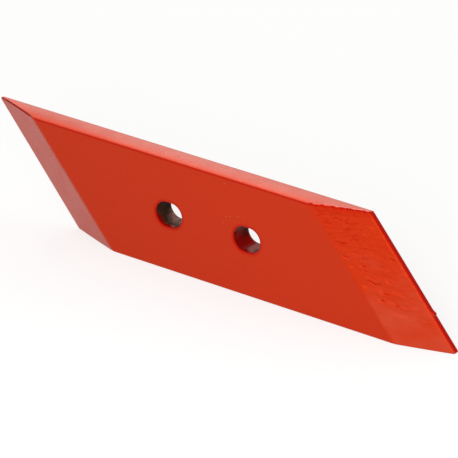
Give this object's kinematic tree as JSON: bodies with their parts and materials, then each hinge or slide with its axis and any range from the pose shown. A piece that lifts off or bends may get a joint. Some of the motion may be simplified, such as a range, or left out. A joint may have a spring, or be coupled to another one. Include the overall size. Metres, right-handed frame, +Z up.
{
  "type": "plough chisel point",
  "caption": "Flat steel plough point cropped on a slant at both ends, each end bevelled to a cutting edge, with two short bolt slots through its middle and a coat of red paint.",
  "frame": {"origin": "on the lower long narrow side, which the point stands on, straight under the middle of the two bolt slots and in the middle of the thickness", "axes": "+X along the length towards the blunter bevelled end, +Y out of the flat seat face (the bevelled wearing face looks towards -Y), +Z up across the width"},
  "size_m": [0.2809, 0.012, 0.06],
  "materials": {
    "red_paint": "satin red-orange paint over rolled steel, thin and partly missing inside the bolt slots"
  },
  "bodies": {
    "root": {"chisel_point": "red_paint"}
  },
  "joints": []
}
